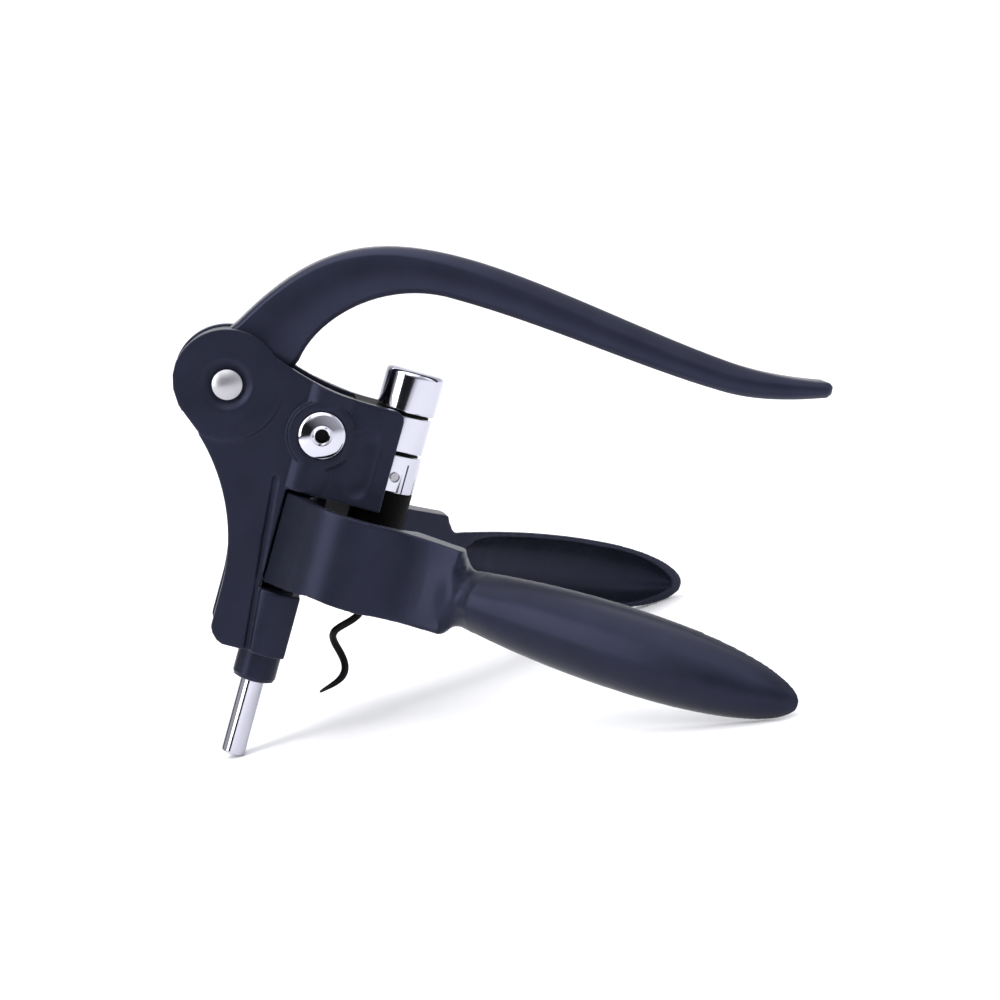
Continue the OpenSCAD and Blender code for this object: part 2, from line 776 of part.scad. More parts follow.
module lock_pin() {
    color(satin_steel) stand() rotate([0, 0, button_turn]) translate([core_r + run_gap, 0, button_z])
        rotate([0, 90, 0]) cylinder(h = collar_r - core_r - 2 * run_gap, r = button_r);
}

// Plan of a closed bow on the far side, before its bore is cut
module bow_plan() {
    difference() {
        union() {
            circle(bow_r, $fn = 128);
            difference() {
                polygon([[0, 0], flare_c, [bow_front, flare_c[1]], [bow_front, 0]]);
                translate(flare_c) circle(flare_r, $fn = 128);
            }
        }
        translate([-reach, jaw_split - reach]) square([2 * reach, reach]);
    }
}

// Side view of a bow, deepest at the hinge
module bow_side() {
    polygon([
        [-reach, jaw_top], [bow_front, jaw_top], [bow_front, -bow_front_depth],
        [hinge_x + 10, -bow_depth], [-reach, -bow_depth]
    ]);
}

// Raises an ear towards its tip
module on_ear() {
    translate([ear_root, jaw_split, -ear_depth]) rotate([0, -ear_rise, 0])
        translate([-ear_root, 0, 0]) children();
}

// Hollow half-round ear on the far side
module ear() {
    inner_tip = ear_tip - 2 * ear_wall;
    rotate([0, 90, 0]) difference() {
        rotate_extrude(angle = 180) polygon(concat([[0, ear_root]],
            [for (i = [0:ear_steps]) let (x = ear_root + (ear_tip - ear_root) * sin(90 * i / ear_steps))
                [ear_radius(x), x]]
        ));
        rotate([0, 0, -5]) rotate_extrude(angle = 190) polygon(concat([[0, hollow_root]],
            [for (i = [0:ear_steps]) let (
                t = sin(90 * i / ear_steps),
                x = hollow_root + (inner_tip - hollow_root) * t,
                start = sqrt(1 - pow(max(0, 1 - (x - hollow_root) / hollow_round), 2)),
                end = sqrt(1 - pow(t, 14))
            ) [max(0, (ear_radius(x) - ear_wall) * start * end), x]]
        ));
    }
}

// Height at which a knuckle starts, counted from the lowest
function knuckle_z(k) = jaw_low + k * knuckle_h;

// Plan of a jaw's hinge block and its facet to the bow, with the knuckle round the sleeve where it has one
module hinge_plan(knuckle) {
    polygon([[0, 0], on_circle(bow_r - seat_gap / 2, facet_end), corner]);
    translate([hinge_x, 0]) {
        rotate(-jaw_open) translate([-block_back, 0]) square([block_back + block_nose, hinge_face]);
        if (knuckle) circle(knuckle_r);
    }
}

// One jaw on the far side, closed; middle says which of the knuckles it has
module jaw(middle) {
    others = middle ? [0, 2] : [1];
    difference() {
        union() {
            intersection() {
                translate([0, 0, jaw_low]) linear_extrude(jaw_top - jaw_low) bow_plan();
                slab(0, 60) bow_side();
            }
            for (k = [0:2]) translate([0, 0, knuckle_z(k)]) linear_extrude(knuckle_h)
                hinge_plan(middle == (k == 1));
            on_ear() {
                ear();
                skin([for (i = [0:neck_rings])
                    neck_ring(bow_front - neck_lap + (neck_len + neck_lap) * i / neck_rings)]);
            }
        }
        post(0, bore_r, jaw_low - 1, jaw_top + 1);
        post(hinge_x, sleeve_r + run_gap, jaw_low - 1, jaw_top + 1);
        for (k = others)
            post(hinge_x, knuckle_r + side_gap, knuckle_z(k) - seat_gap, knuckle_z(k + 1) + seat_gap);
    }
}

// Rubber pad inside one bow, closed, on the far side
module pad() {
    pad_top = jaw_top - pad_inset;
    pad_low = -bow_front_depth - pad_drop;
    intersection() {
        difference() {
            post(0, bore_r, pad_low, pad_top);
            post(0, neck_r, pad_low - 1, pad_top + 1);
        }
        linear_extrude(reach, center = true)
            polygon(concat(
                [[0, 0]],
                [for (a = [pad_from:pad_span / 4:pad_from + pad_span]) on_circle(reach, a)]
            ));
    }
}

// Swings a closed jaw open about the guide rod
module swing() {
    translate([hinge_x, 0, 0]) rotate([0, 0, jaw_open]) translate([-hinge_x, 0, 0]) children();
}

module jaw_far() {
    color(soft_touch) stand() swing() jaw(true);
}

module jaw_near() {
    color(soft_touch) stand() mirror([0, 1, 0]) swing() jaw(false);
}

module jaw_pad_far() {
    color(rubber) stand() swing() pad();
}

module jaw_pad_near() {
    color(rubber) stand() mirror([0, 1, 0]) swing() pad();
}

body_near();
body_far();
guide_block();
body_screws();
guide_sleeve();
pivot_pin();
pivot_washers();
nut_holder();
worm_nut();
lever();
rack_carriage();
guide_rod();
worm();
barrel_core();
barrel_cap();
barrel_sleeve();
barrel_collar();
lock_pin();
jaw_near();
jaw_far();
jaw_pad_near();
jaw_pad_far();
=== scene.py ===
import json
from math import atan2, cos, pi, radians, sin

import bmesh
import bpy
from mathutils import Matrix, Vector

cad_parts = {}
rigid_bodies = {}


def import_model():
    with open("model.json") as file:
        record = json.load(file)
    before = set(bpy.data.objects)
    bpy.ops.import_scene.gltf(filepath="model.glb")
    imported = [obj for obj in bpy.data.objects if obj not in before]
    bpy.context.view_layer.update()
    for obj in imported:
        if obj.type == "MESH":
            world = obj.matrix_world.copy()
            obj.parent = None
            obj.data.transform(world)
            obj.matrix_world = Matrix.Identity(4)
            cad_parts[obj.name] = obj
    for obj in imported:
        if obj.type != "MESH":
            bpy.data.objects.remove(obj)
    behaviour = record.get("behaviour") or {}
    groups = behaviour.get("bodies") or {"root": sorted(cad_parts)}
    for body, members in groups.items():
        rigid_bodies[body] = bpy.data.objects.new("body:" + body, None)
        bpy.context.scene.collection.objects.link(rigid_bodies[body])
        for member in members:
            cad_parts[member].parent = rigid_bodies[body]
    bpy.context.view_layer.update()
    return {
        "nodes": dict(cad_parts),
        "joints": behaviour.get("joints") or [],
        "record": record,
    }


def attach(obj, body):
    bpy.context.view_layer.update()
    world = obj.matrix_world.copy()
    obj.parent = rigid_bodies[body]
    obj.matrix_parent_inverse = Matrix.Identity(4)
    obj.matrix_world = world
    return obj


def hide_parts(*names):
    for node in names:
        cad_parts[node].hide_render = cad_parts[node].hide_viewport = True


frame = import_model()
bpy.ops.object.select_all(action="DESELECT")
mm = 0.001
halfStep = 0.5  # how far one smoothing pass goes
castAngle = 60  # castings are shaded smooth over edges up to this angle

# spots that several pieces share, in the upright tool's millimetres
pivot = (-47.1, 0, 22.6)
rodX = -20.3

# the tool leans on its rod and ears: pieces are drawn upright in millimetres, then leaned with this matrix
joints = {j["name"]: j for j in frame["joints"]}
wormAxis = Vector(joints["worm_spin"]["axis"])
wormHeight = 16 * mm  # how far up the worm's axis its joint sits
toolOrigin = Vector(joints["worm_spin"]["pos_m"]) - wormAxis * wormHeight
stand = Matrix.Translation(toolOrigin) @ Matrix.Rotation(atan2(wormAxis.x, wormAxis.z), 4, "Y")


def toLinear(hexCode):
    parts = [int(hexCode[i:i + 2], 16) / 255 for i in (1, 3, 5)]
    return tuple(p / 12.92 if p <= 0.04045 else ((p + 0.055) / 1.055) ** 2.4 for p in parts) + (1,)


def addNode(mat, kind, links=None, **settings):
    # one node with its settings; links maps an input to (node, output)
    node = mat.node_tree.nodes.new(kind)
    for key, value in settings.items():
        if key in node.inputs:
            node.inputs[key].default_value = value
        else:
            setattr(node, key, value)
    for key, (source, output) in (links or {}).items():
        mat.node_tree.links.new(source.outputs[output], node.inputs[key])
    return node


def perMetre(size):
    # texture scale for a feature of that size in millimetres
    return 1 / (size * mm)


def newMaterial(name):
    mat = bpy.data.materials.new(name)
    mat.use_nodes = True
    return mat, mat.node_tree.nodes["Principled BSDF"], addNode(mat, "ShaderNodeTexCoord")


def feed(mat, shader, socket, node, output):
    mat.node_tree.links.new(node.outputs[output], shader.inputs[socket])


def grainNode(mat, coord, size, detail):
    # noise whose features have that size in millimetres
    return addNode(mat, "ShaderNodeTexNoise", {"Vector": (coord, "Object")},
                   Scale=perMetre(size), Detail=detail)


def toneNode(mat, source, dark, light, start=0, end=1):
    # a ramp from a dark to a light colour
    tone = addNode(mat, "ShaderNodeValToRGB", {"Fac": source})
    for stop, colour, position in zip(tone.color_ramp.elements, (dark, light), (start, end)):
        stop.color = toLinear(colour)
        stop.position = position
    return tone


def varyRoughness(mat, shader, grain, low, high):
    # the grain moves the roughness between two bounds
    gloss = addNode(mat, "ShaderNodeMapRange", {"Value": (grain, "Fac")},
                    **{"To Min": low, "To Max": high})
    feed(mat, shader, "Roughness", gloss, "Result")


def addBump(mat, shader, grain, strength, height):
    # surface relief of that height in millimetres
    bump = addNode(mat, "ShaderNodeBump", {"Height": (grain, "Fac")},
                   Strength=strength, Distance=height * mm)
    feed(mat, shader, "Normal", bump, "Normal")


def setInputs(shader, **values):
    # input names are given with underscores for their spaces
    for key, value in values.items():
        shader.inputs[key.replace("_", " ")].default_value = value


print("materials")


def softTouchPaint(name, sheen):
    # soft-touch paint on die-cast zinc: dark blue-grey, a broad soft sheen, stronger where hands rub it,
    # and the faintest orange peel
    mat, shader, coord = newMaterial(name)
    setInputs(shader, Specular_IOR_Level=sheen, Specular_Tint=toLinear("#c3c7ff"))
    mottle = grainNode(mat, coord, size=9, detail=3)
    tone = toneNode(mat, (mottle, "Fac"), "#171922", "#1c1e29", start=0.3, end=0.7)
    feed(mat, shader, "Base Color", tone, "Color")
    varyRoughness(mat, shader, mottle, low=0.31, high=0.37)
    addBump(mat, shader, grainNode(mat, coord, size=0.7, detail=2), strength=0.05, height=0.05)
    return mat


def chromePlate():
    # polished chrome plate: a mirror with hair-fine wiping marks
    mat, shader, coord = newMaterial("chromePlate")
    setInputs(shader, Base_Color=toLinear("#bebec9"), Metallic=1)
    varyRoughness(mat, shader, grainNode(mat, coord, size=4, detail=4), low=0.05, high=0.13)
    return mat


def satinSteel():
    # turned steel, bead blasted: pale grey with a soft grain
    mat, shader, coord = newMaterial("satinSteel")
    setInputs(shader, Base_Color=toLinear("#a9a8ad"), Metallic=1)
    grain = grainNode(mat, coord, size=0.35, detail=3)
    varyRoughness(mat, shader, grain, low=0.28, high=0.45)
    addBump(mat, shader, grain, strength=0.15, height=0.03)
    return mat


def blackNylon():
    # glass-filled nylon, moulded: near black with a dry speckle
    mat, shader, coord = newMaterial("blackNylon")
    speck = grainNode(mat, coord, size=0.5, detail=3)
    feed(mat, shader, "Base Color", toneNode(mat, (speck, "Fac"), "#020203", "#050506"), "Color")
    setInputs(shader, Roughness=0.55, Specular_IOR_Level=0.05)
    addBump(mat, shader, speck, strength=0.1, height=0.04)
    return mat


def coatedSteel():
    # steel wire with a baked non-stick coating: black, slightly pebbled, with a waxy shine
    mat, shader, coord = newMaterial("coatedSteel")
    pebble = grainNode(mat, coord, size=0.4, detail=3)
    feed(mat, shader, "Base Color", toneNode(mat, (pebble, "Fac"), "#050506", "#0c0c0f"), "Color")
    setInputs(shader, Roughness=0.45, Specular_IOR_Level=0.1)
    addBump(mat, shader, pebble, strength=0.12, height=0.04)
    return mat


def gripRubber():
    # moulded rubber: matte black with a fine dusty bloom
    mat, shader, coord = newMaterial("gripRubber")
    bloom = grainNode(mat, coord, size=2, detail=4)
    feed(mat, shader, "Base Color", toneNode(mat, (bloom, "Fac"), "#0c0d0e", "#151619"), "Color")
    setInputs(shader, Roughness=0.8)
    return mat


finishes = {
    "soft_touch_paint": softTouchPaint("softTouchPaint", sheen=0.22),
    "chrome_plate": chromePlate(),
    "satin_steel": satinSteel(),
    "black_nylon": blackNylon(),
    "coated_steel": coatedSteel(),
    "grip_rubber": gripRubber(),
}
rubbedPaint = softTouchPaint("rubbedPaint", sheen=0.36)


def editing(on):
    bpy.ops.object.mode_set(mode="EDIT" if on else "OBJECT")


def middle(item):
    corners = [item] if isinstance(item, bmesh.types.BMVert) else item.verts
    return sum((v.co for v in corners), Vector()) / len(corners)


def pick(piece, kind, test):
    # selects the corners, edges or faces that pass the test
    bpy.ops.mesh.select_mode(type=kind)
    bpy.ops.mesh.select_all(action="DESELECT")
    shape = bmesh.from_edit_mesh(piece.data)
    shape.normal_update()
    for item in {"VERT": shape.verts, "EDGE": shape.edges, "FACE": shape.faces}[kind]:
        if test(item):
            item.select_set(True)
    shape.select_flush_mode()
    bmesh.update_edit_mesh(piece.data)


def named(name):
    piece = bpy.context.object
    piece.name = piece.data.name = name
    return piece


def only(piece):
    bpy.ops.object.select_all(action="DESELECT")
    piece.select_set(True)
    bpy.context.view_layer.objects.active = piece


def applyPlace(piece):
    only(piece)
    bpy.ops.object.transform_apply(location=True, rotation=True, scale=True)


def finishWith(piece, kind, **settings):
    # adds a modifier and applies it
    only(piece)
    bpy.ops.object.modifier_add(type=kind)
    for key, value in settings.items():
        setattr(piece.modifiers[-1], key, value)
    bpy.ops.object.modifier_apply(modifier=piece.modifiers[-1].name)


def cutOrJoin(piece, other, operation):
    finishWith(piece, "BOOLEAN", operation=operation, object=other, solver="EXACT")
    bpy.data.objects.remove(other, do_unlink=True)


upright = stand @ Matrix.Scale(mm, 4)
weldCad = 0.002  # corners this close are one, in millimetres for CAD copies
weldPlaced = 0.001 * mm  # and in metres for placed pieces


def tidy(piece, near):
    # merges doubled corners and turns every face outwards
    only(piece)
    editing(True)
    bpy.ops.mesh.select_all(action="SELECT")
    bpy.ops.mesh.remove_doubles(threshold=near)
    bpy.ops.mesh.normals_make_consistent(inside=False)
    editing(False)


def copyOf(node, name):
    # a merged copy of a CAD node, drawn upright in millimetres
    piece = bpy.data.objects.new(name, frame["nodes"][node].data.copy())
    piece.data.name = name
    bpy.context.collection.objects.link(piece)
    piece.matrix_world = upright.inverted()
    applyPlace(piece)
    tidy(piece, weldCad)
    return piece


def place(piece, body, slot, nodes, smoothAngle=35, weighted=False):
    # leans a finished upright piece onto the frame and hands it to its body
    applyPlace(piece)
    piece.matrix_world = upright
    applyPlace(piece)
    tidy(piece, weldPlaced)
    bpy.ops.object.shade_smooth_by_angle(angle=radians(smoothAngle))
    if weighted:
        finishWith(piece, "WEIGHTED_NORMAL", keep_sharp=True, weight=60)
    piece.data.materials.clear()
    piece.data.materials.append(finishes[slot])
    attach(piece, body)
    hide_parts(*nodes)


def turned(name, profile, sides=96):
    # a round piece: a disc extruded and scaled along its radii and heights
    r, z = profile[0]
    bpy.ops.mesh.primitive_circle_add(vertices=sides, radius=r, fill_type="NGON", location=(0, 0, z))
    piece = named(name)
    applyPlace(piece)
    editing(True)
    bpy.ops.mesh.select_all(action="SELECT")
    for nextR, nextZ in profile[1:]:
        bpy.ops.mesh.extrude_region_move(TRANSFORM_OT_translate={"value": (0, 0, nextZ - z)})
        bpy.ops.transform.resize(value=(nextR / r, nextR / r, 1), center_override=(0, 0, nextZ))
        r, z = nextR, nextZ
    editing(False)
    return piece


def roundedEnd(r, z, steps, way):
    # rings of a rounded end: each step goes inwards by one length and along by another
    return [(r - inwards, z + way * along) for inwards, along in steps]


# the lever: a block extruded along its two edges, with a broad round on the top and a small one below
print("lever")
leverShape = {
    "topEdge": (
        ((-55.5, 27), (-54, 31), (-51, 34.5), (-48.4, 38.4)),
        ((-48.4, 38.4), (-35.5, 61.3), (-22, 69.68), (4.2, 69.98)),
        ((4.2, 69.98), (24, 70.28), (55, 64.2), (78.7, 62.4)),
        ((78.7, 62.4), (88, 61.6), (98, 62.4), (107.4, 64.4)),
    ),
    "lowEdge": (
        ((-39.5, 26), (-35, 29), (-31.5, 29.5), (-30.8, 33)),
        ((-30.8, 33), (-29, 46), (-14, 59.5), (3.8, 59.1)),
        ((3.8, 59.1), (28, 59.2), (56, 54.8), (78.2, 54.5)),
        ((78.2, 54.5), (88, 54.2), (98, 57), (107.75, 60.5)),
    ),
    "steps": (5, 20, 16, 12),
    "hubHalf": 6.3, "armHalf": 7.2, "gripHalf": 8.4, "tipHalf": 6.8, "slice": 0.2,
    "hubToArm": (-48, -38), "armToGrip": (-25, 15), "gripEnd": 40, "tipRun": 66,
    "topRound": 4.3, "lowRound": 1.5, "tipRound": 1.1, "rounding": 6, "profile": 0.33,
    "topStart": 0.7, "broadens": (-45, 40), "narrows": (72, 102), "tipEdge": 1.5,
    "archCentre": (5, 0, 20), "sideFace": 0.8, "edgeFace": 0.5, "hubReach": 13.9, "hubCutter": 40,
}


def onCurve(curve, t):
    weights = ((1 - t) ** 3, 3 * t * (1 - t) ** 2, 3 * t * t * (1 - t), t ** 3)
    x, z = (sum(w * p[i] for w, p in zip(weights, curve)) for i in (0, 1))
    return Vector((x, 0, z))


def edgePoints(curves, steps):
    return [onCurve(c, i / n) for c, n in zip(curves, steps) for i in range(n)] + [onCurve(curves[-1], 1)]


def ease(value, start, end):
    t = min(1, max(0, (value - start) / (end - start)))
    return t * t * (3 - 2 * t)


def halfWidth(x):
    hub, armHalf, grip, tip = (leverShape[k] for k in ("hubHalf", "armHalf", "gripHalf", "tipHalf"))
    half = hub + (armHalf - hub) * ease(x, *leverShape["hubToArm"])
    half += (grip - armHalf) * ease(x, *leverShape["armToGrip"])
    return half - (grip - tip) * max(0, (x - leverShape["gripEnd"]) / leverShape["tipRun"]) ** 2


def section(top, low):
    across, centre = top - low, (top + low) / 2
    turn = atan2(across.x, across.z)
    return {"centre": centre, "height": across.length, "turn": turn, "half": halfWidth(centre.x)}


def leverArm():
    tops = edgePoints(leverShape["topEdge"], leverShape["steps"])
    lows = edgePoints(leverShape["lowEdge"], leverShape["steps"])
    stations = [section(t, l) for t, l in zip(tops, lows)]
    last = stations[0]
    bpy.ops.mesh.primitive_cube_add(size=1, location=last["centre"], rotation=(0, last["turn"], 0))
    arm = named("leverArm")
    arm.scale = (leverShape["slice"], 2 * last["half"], last["height"])
    applyPlace(arm)
    editing(True)
    ahead = Vector((cos(last["turn"]), 0, -sin(last["turn"])))
    pick(arm, "FACE", lambda f: f.normal.dot(ahead) > leverShape["sideFace"])
    for now in stations[1:]:
        bpy.ops.mesh.extrude_region_move(TRANSFORM_OT_translate={"value": now["centre"] - last["centre"]})
        bpy.ops.transform.rotate(value=last["turn"] - now["turn"], orient_axis="Y",
                                 center_override=now["centre"])
        grow, widen = now["height"] / last["height"], now["half"] / last["half"]
        bpy.ops.transform.resize(value=(grow, widen, grow), center_override=now["centre"])
        last = now
    return arm


def roundLever(arm):
    # the top corners' round grows broad along the arch and fine again towards the tip, the rest is small
    away = Vector(leverShape["archCentre"])

    def corner(edge, outer):
        sides = [f for f in edge.link_faces if abs(f.normal.y) > leverShape["sideFace"]]
        others = [f for f in edge.link_faces if abs(f.normal.y) < leverShape["edgeFace"]]
        if len(sides) != 1 or len(others) != 1:
            return False
        return ((middle(others[0]) - away).dot(others[0].normal) > 0) == outer

    def tipCorner(edge):
        run = edge.verts[0].co - edge.verts[1].co
        return middle(edge).x > tip - leverShape["tipEdge"] and abs(run.z) < 0.1 and abs(run.y) > 1

    editing(True)
    small = leverShape["lowRound"] / leverShape["topRound"]
    pick(arm, "EDGE", lambda e: corner(e, False))
    bpy.ops.transform.edge_bevelweight(value=small)
    tip = max(v.co.x for v in bmesh.from_edit_mesh(arm.data).verts)
    pick(arm, "EDGE", tipCorner)
    bpy.ops.transform.edge_bevelweight(value=leverShape["tipRound"] / leverShape["topRound"])
    shape = bmesh.from_edit_mesh(arm.data)
    fine = small * leverShape["topStart"]
    for x in sorted({round(middle(e).x, 3) for e in shape.edges if corner(e, True)}):
        pick(arm, "EDGE", lambda e: corner(e, True) and abs(middle(e).x - x) < 0.01)
        broad = fine + (1 - fine) * ease(x, *leverShape["broadens"])
        bpy.ops.transform.edge_bevelweight(value=broad - (broad - fine) * ease(x, *leverShape["narrows"]))
    editing(False)
    finishWith(arm, "BEVEL", limit_method="WEIGHT", width=leverShape["topRound"],
               segments=leverShape["rounding"], profile=leverShape["profile"], use_clamp_overlap=False)


def pinionHub():
    # the toothed hub, cut from the CAD lever with a cylinder round the pivot
    hub = copyOf("lever", "pinionHub")
    bpy.ops.mesh.primitive_cylinder_add(vertices=96, radius=leverShape["hubReach"], location=pivot,
                                        depth=leverShape["hubCutter"], rotation=(pi / 2, 0, 0))
    rim = named("hubRim")
    applyPlace(rim)
    cutOrJoin(hub, rim, "INTERSECT")
    return hub


arm = leverArm()
roundLever(arm)
cutOrJoin(arm, pinionHub(), "UNION")
place(arm, "lever", "soft_touch_paint", ["lever"])
arm.data.materials[0] = rubbedPaint

# body halves: copies of the CAD plates, trimmed, dished and grooved, with softened edges
print("body")
bodyShape = {
    "grain": 0.32, "flow": 7, "keep": 0.3, "sliverSize": 12, "cutterHigh": 4,
    "discSlivers": ((182, 14.1), (197, 13.8), (213, 13.45), (231, 13.2)),
    "legCorner": (-29.7, 0, -38.1), "cornerSlivers": ((205, 5.4), (225, 5.35), (245, 5.4)),
    "dishRim": 6.5, "dishFoot": 4.3, "dishFloor": 10.3, "face": 11.9,
    "seamTop": (-28.8, 3), "seamLow": (-24.4, -44), "seamWide": 1.7, "seamFloor": 10.75,
}


def shave(half, centre, slivers):
    # takes slivers off an edge, each given by its direction and its distance from a centre
    size = bodyShape["sliverSize"]
    for degrees, reach in slivers:
        turn = radians(degrees)
        spot = Vector(centre) + Vector((cos(turn), 0, sin(turn))) * (reach + size / 2)
        bpy.ops.mesh.primitive_cube_add(size=1, location=spot, rotation=(0, -turn, 0))
        sliver = named("sliver")
        sliver.scale = (size, 4 * size, size)
        applyPlace(sliver)
        cutOrJoin(half, sliver, "DIFFERENCE")


def cutSeam(half, sideways):
    # a soft groove down the leg, beside the jaw's seat
    top, low = Vector(bodyShape["seamTop"]), Vector(bodyShape["seamLow"])
    run, spot, deep = top - low, (top + low) / 2, bodyShape["seamFloor"]
    high = bodyShape["cutterHigh"]
    bpy.ops.mesh.primitive_cube_add(size=1, location=(spot.x, sideways * (deep + high / 2), spot.y),
                                    rotation=(0, atan2(run.x, run.y), 0))
    seam = named("seam")
    seam.scale = (bodyShape["seamWide"], high, run.length)
    applyPlace(seam)
    cutOrJoin(half, seam, "DIFFERENCE")


def dishDisc(half, sideways):
    # a dished ring round the rivet
    rim, foot, low, face = (bodyShape[k] for k in ("dishRim", "dishFoot", "dishFloor", "face"))
    dish = turned("dish", [(foot, low), (rim, face), (rim, face + bodyShape["cutterHigh"] / 2)])
    dish.rotation_euler.x = -sideways * pi / 2
    dish.location = pivot
    applyPlace(dish)
    cutOrJoin(half, dish, "DIFFERENCE")


for side, sideways in (("near", -1), ("far", 1)):
    half = copyOf("body_" + side, side + "Half")
    shave(half, pivot, bodyShape["discSlivers"])
    shave(half, bodyShape["legCorner"], bodyShape["cornerSlivers"])
    dishDisc(half, sideways)
    cutSeam(half, sideways)
    finishWith(half, "REMESH", mode="VOXEL", voxel_size=bodyShape["grain"])
    finishWith(half, "SMOOTH", factor=halfStep, iterations=bodyShape["flow"])
    finishWith(half, "DECIMATE", ratio=bodyShape["keep"])
    place(half, "body", "soft_touch_paint", ["body_" + side], smoothAngle=castAngle)

# jaws: die castings whose bow, neck and ear flow into each other
print("jaws")
jawShape = {
    "grain": 0.42, "flow": 9, "keep": 0.5, "open": radians(33.6),
    "lowLine": ((-30, -25.4), (-14, -23.1), (2, -23.9)), "lowDeep": 4, "lowWide": 140,
    "bowFrom": 38, "bowEnd": 50, "neckEnd": 58.5, "drawn": 3.8, "innerShare": 0.32, "bowHalf": 7,
    "filled": 1.5, "fillFull": 54.5, "fillEnd": 76, "fillFade": 6, "moves": 16,
    "blends": ((43, 63, 25), (46.5, 59.5, 100)), "neckLow": -20, "neckTop": -4, "neckIn": 1.5,
    "earAxis": -12.6, "earRise": 0.0332, "earRoot": 45.9, "earIn": 1.2, "earOut": 0.5, "earSmooth": 50,
    "hollowFrom": 60, "hollowTo": 128, "hollowIn": -0.35, "thinner": 0.9, "settle": 6,
}


def alongJaw(spot):
    # how far along its own length, from the hinge, a spot of an open jaw lies
    return (spot.x - rodX) * cos(jawShape["open"]) + abs(spot.y) * sin(jawShape["open"])


def acrossJaw(spot):
    # how far out from its parting plane a spot of an open jaw lies
    return abs(spot.y) * cos(jawShape["open"]) - (spot.x - rodX) * sin(jawShape["open"])


def trimBow(jaw):
    # the underside rises towards the hinge, over the body's ledge
    line = jawShape["lowLine"]
    for start, end in zip(line, line[1:]):
        run, climb = end[0] - start[0], end[1] - start[1]
        turn = atan2(-climb, run)
        spot = Vector(((start[0] + end[0]) / 2, 0, (start[1] + end[1]) / 2))
        spot -= Vector((sin(turn), 0, cos(turn))) * jawShape["lowDeep"] / 2
        bpy.ops.mesh.primitive_cube_add(size=1, location=spot, rotation=(0, turn, 0))
        shaving = named("shaving")
        shaving.scale = (run / cos(turn), jawShape["lowWide"], jawShape["lowDeep"])
        applyPlace(shaving)
        cutOrJoin(jaw, shaving, "DIFFERENCE")


def drawnShare(spot):
    # share of the drawing out that a spot of bow or neck takes, most on the outer side of the bow's end
    along, inner = alongJaw(spot), jawShape["innerShare"]
    rise = ease(along, jawShape["bowFrom"], jawShape["bowEnd"])
    rise *= 1 - ease(along, jawShape["bowEnd"], jawShape["neckEnd"])
    return rise * (inner + (1 - inner) * ease(acrossJaw(spot), 0, jawShape["bowHalf"]))


def filledShare(spot):
    # share of the filling that a spot of the neck takes, most at mid height on its outer side
    along, low, top, fade = alongJaw(spot), jawShape["neckLow"], jawShape["neckTop"], jawShape["fillFade"]
    rise = ease(along, jawShape["bowEnd"], jawShape["fillFull"])
    rise *= 1 - ease(along, jawShape["neckEnd"], jawShape["fillEnd"])
    level = ease(spot.z, low, low + fade) * (1 - ease(spot.z, top - fade, top))
    return rise * level * ease(acrossJaw(spot), 0, jawShape["bowHalf"])


def nudge(jaw, push, share):
    # moves each spot by its share of a push, in small moves
    shares, moves = [share(v.co) for v in jaw.data.vertices], jawShape["moves"]
    editing(True)
    for i in range(moves):
        pick(jaw, "VERT", lambda v: shares[v.index] > (i + 0.5) / moves)
        bpy.ops.transform.translate(value=push / moves)
    editing(False)


def drawBow(jaw, sideways):
    # draws the bow's front corner out along the jaw and fills the neck, so bow and ear run together
    turn = jawShape["open"]
    nudge(jaw, Vector((cos(turn), sideways * sin(turn), 0)) * jawShape["drawn"], drawnShare)
    nudge(jaw, Vector((-sin(turn), sideways * cos(turn), 0)) * jawShape["filled"], filledShare)


def outwards(face, sideways):
    # how far a face of the ear looks away from the ear's own axis; those of the hollow look towards it
    spot = middle(face)
    along = alongJaw(spot)
    if along < jawShape["hollowFrom"]:
        return 0
    turn = jawShape["open"]
    along = min(along, jawShape["hollowTo"])
    onAxis = Vector((rodX + along * cos(turn), sideways * along * sin(turn),
                     jawShape["earAxis"] + jawShape["earRise"] * (along - jawShape["earRoot"])))
    return face.normal.dot((spot - onAxis).normalized())


def blendNeck(jaw):
    # smooths the neck's outer side
    for start, end, passes in jawShape["blends"]:
        pick(jaw, "VERT", lambda v: start < alongJaw(v.co) < end and acrossJaw(v.co) > jawShape["neckIn"]
             and jawShape["neckLow"] < v.co.z < jawShape["neckTop"])
        bpy.ops.mesh.vertices_smooth(factor=halfStep, repeat=passes)


def shapeEar(jaw, sideways):
    # smooths the ear's outside and widens its hollow, which leaves a thinner rim
    pick(jaw, "FACE", lambda f: outwards(f, sideways) > jawShape["earOut"]
         and acrossJaw(middle(f)) > jawShape["earIn"])
    bpy.ops.mesh.vertices_smooth(factor=halfStep, repeat=jawShape["earSmooth"])
    pick(jaw, "FACE", lambda f: outwards(f, sideways) < jawShape["hollowIn"])
    bpy.ops.transform.shrink_fatten(value=-jawShape["thinner"])
    bpy.ops.mesh.select_more()
    bpy.ops.mesh.select_more()
    bpy.ops.mesh.vertices_smooth(factor=halfStep, repeat=jawShape["settle"])


for side, sideways in (("near", -1), ("far", 1)):
    jaw = copyOf("jaw_" + side, side + "Jaw")
    finishWith(jaw, "REMESH", mode="VOXEL", voxel_size=jawShape["grain"])
    trimBow(jaw)
    drawBow(jaw, sideways)
    finishWith(jaw, "SMOOTH", factor=halfStep, iterations=jawShape["flow"])
    editing(True)
    blendNeck(jaw)
    shapeEar(jaw, sideways)
    editing(False)
    finishWith(jaw, "DECIMATE", ratio=jawShape["keep"])
    place(jaw, side + "_jaw", "soft_touch_paint", ["jaw_" + side], smoothAngle=castAngle)

